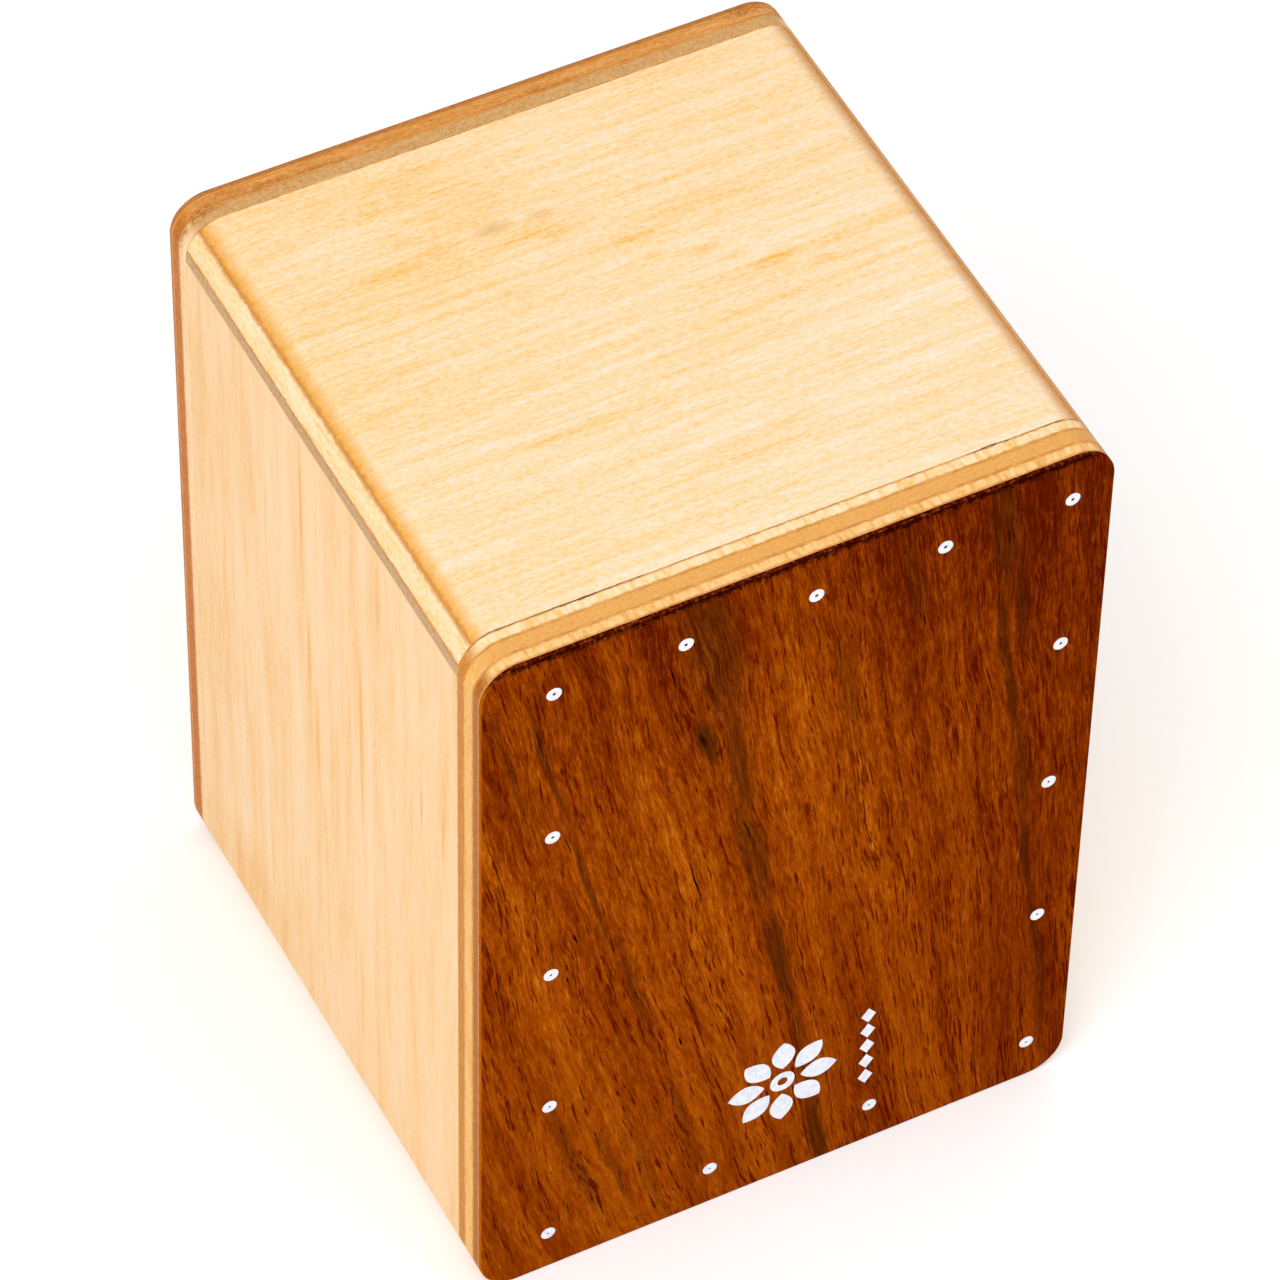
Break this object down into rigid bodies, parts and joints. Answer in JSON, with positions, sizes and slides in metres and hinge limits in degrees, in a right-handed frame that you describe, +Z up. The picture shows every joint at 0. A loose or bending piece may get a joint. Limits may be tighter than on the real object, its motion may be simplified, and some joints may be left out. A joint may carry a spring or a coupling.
{
  "type": "miniature cajon shaker",
  "caption": "Hand-size closed wooden box shaped like a cajon: walnut-faced front board, rounded ply box, loose steel shot inside.",
  "frame": {"origin": "centre of the bottom, where the box stands", "axes": "+Z up, the walnut front faces -Y, +X to the right seen from the front"},
  "size_m": [0.057, 0.0584, 0.08],
  "materials": {
    "walnut_veneer": "satin clear lacquer over walnut veneer, grain upright, small white printed dots and a plain white ornament",
    "plate_ply": "sanded and lacquered ply edge, pale along the grain and brown across it",
    "birch_face": "sanded, clear satin lacquer",
    "core_ply": "sanded and lacquered ply edge",
    "inner_ply": "sanded and lacquered ply edge, bare wood inside the box",
    "steel_shot": "plain rolled steel"
  },
  "bodies": {
    "box": {"front_walnut_veneer": "walnut_veneer", "front_outer_ply": "plate_ply", "front_core_ply": "core_ply", "front_inner_ply": "inner_ply", "back_outer_ply": "plate_ply", "back_core_ply": "core_ply", "back_inner_ply": "inner_ply", "top_face_ply": "birch_face", "top_core_ply": "core_ply", "top_inner_ply": "inner_ply", "bottom_face_ply": "birch_face", "bottom_core_ply": "core_ply", "bottom_inner_ply": "inner_ply", "left_side_face_ply": "birch_face", "left_side_core_ply": "core_ply", "left_side_inner_ply": "inner_ply", "right_side_face_ply": "birch_face", "right_side_core_ply": "core_ply", "right_side_inner_ply": "inner_ply"},
    "shot_01": {"shot_01": "steel_shot"},
    "shot_02": {"shot_02": "steel_shot"},
    "shot_03": {"shot_03": "steel_shot"},
    "shot_04": {"shot_04": "steel_shot"},
    "shot_05": {"shot_05": "steel_shot"},
    "shot_06": {"shot_06": "steel_shot"},
    "shot_07": {"shot_07": "steel_shot"},
    "shot_08": {"shot_08": "steel_shot"},
    "shot_09": {"shot_09": "steel_shot"},
    "shot_10": {"shot_10": "steel_shot"},
    "shot_11": {"shot_11": "steel_shot"},
    "shot_12": {"shot_12": "steel_shot"},
    "shot_13": {"shot_13": "steel_shot"},
    "shot_14": {"shot_14": "steel_shot"},
    "shot_15": {"shot_15": "steel_shot"},
    "shot_16": {"shot_16": "steel_shot"},
    "shot_17": {"shot_17": "steel_shot"},
    "shot_18": {"shot_18": "steel_shot"},
    "shot_19": {"shot_19": "steel_shot"},
    "shot_20": {"shot_20": "steel_shot"},
    "shot_21": {"shot_21": "steel_shot"},
    "shot_22": {"shot_22": "steel_shot"},
    "shot_23": {"shot_23": "steel_shot"},
    "shot_24": {"shot_24": "steel_shot"}
  },
  "joints": [
    {"name": "shot_01_toss", "type": "slide", "parent": "box", "child": "shot_01", "axis": [0, 0, 1], "range_m": [0, 0.0678]},
    {"name": "shot_02_toss", "type": "slide", "parent": "box", "child": "shot_02", "axis": [0, 0, 1], "range_m": [0, 0.0678]},
    {"name": "shot_03_toss", "type": "slide", "parent": "box", "child": "shot_03", "axis": [0, 0, 1], "range_m": [0, 0.0678]},
    {"name": "shot_04_toss", "type": "slide", "parent": "box", "child": "shot_04", "axis": [0, 0, 1], "range_m": [0, 0.0678]},
    {"name": "shot_05_toss", "type": "slide", "parent": "box", "child": "shot_05", "axis": [0, 0, 1], "range_m": [0, 0.0678]},
    {"name": "shot_06_toss", "type": "slide", "parent": "box", "child": "shot_06", "axis": [0, 0, 1], "range_m": [0, 0.0678]},
    {"name": "shot_07_toss", "type": "slide", "parent": "box", "child": "shot_07", "axis": [0, 0, 1], "range_m": [0, 0.0678]},
    {"name": "shot_08_toss", "type": "slide", "parent": "box", "child": "shot_08", "axis": [0, 0, 1], "range_m": [0, 0.0678]},
    {"name": "shot_09_toss", "type": "slide", "parent": "box", "child": "shot_09", "axis": [0, 0, 1], "range_m": [0, 0.0678]},
    {"name": "shot_10_toss", "type": "slide", "parent": "box", "child": "shot_10", "axis": [0, 0, 1], "range_m": [0, 0.0678]},
    {"name": "shot_11_toss", "type": "slide", "parent": "box", "child": "shot_11", "axis": [0, 0, 1], "range_m": [0, 0.0678]},
    {"name": "shot_12_toss", "type": "slide", "parent": "box", "child": "shot_12", "axis": [0, 0, 1], "range_m": [0, 0.0678]},
    {"name": "shot_13_toss", "type": "slide", "parent": "box", "child": "shot_13", "axis": [0, 0, 1], "range_m": [0, 0.0678]},
    {"name": "shot_14_toss", "type": "slide", "parent": "box", "child": "shot_14", "axis": [0, 0, 1], "range_m": [0, 0.0678]},
    {"name": "shot_15_toss", "type": "slide", "parent": "box", "child": "shot_15", "axis": [0, 0, 1], "range_m": [0, 0.0678]},
    {"name": "shot_16_toss", "type": "slide", "parent": "box", "child": "shot_16", "axis": [0, 0, 1], "range_m": [0, 0.0678]},
    {"name": "shot_17_toss", "type": "slide", "parent": "box", "child": "shot_17", "axis": [0, 0, 1], "range_m": [0, 0.0678]},
    {"name": "shot_18_toss", "type": "slide", "parent": "box", "child": "shot_18", "axis": [0, 0, 1], "range_m": [0, 0.0678]},
    {"name": "shot_19_toss", "type": "slide", "parent": "box", "child": "shot_19", "axis": [0, 0, 1], "range_m": [0, 0.0678]},
    {"name": "shot_20_toss", "type": "slide", "parent": "box", "child": "shot_20", "axis": [0, 0, 1], "range_m": [0, 0.0678]},
    {"name": "shot_21_toss", "type": "slide", "parent": "box", "child": "shot_21", "axis": [0, 0, 1], "range_m": [0, 0.0678]},
    {"name": "shot_22_toss", "type": "slide", "parent": "box", "child": "shot_22", "axis": [0, 0, 1], "range_m": [0, 0.0678]},
    {"name": "shot_23_toss", "type": "slide", "parent": "box", "child": "shot_23", "axis": [0, 0, 1], "range_m": [0, 0.0678]},
    {"name": "shot_24_toss", "type": "slide", "parent": "box", "child": "shot_24", "axis": [0, 0, 1], "range_m": [0, 0.0678]}
  ]
}
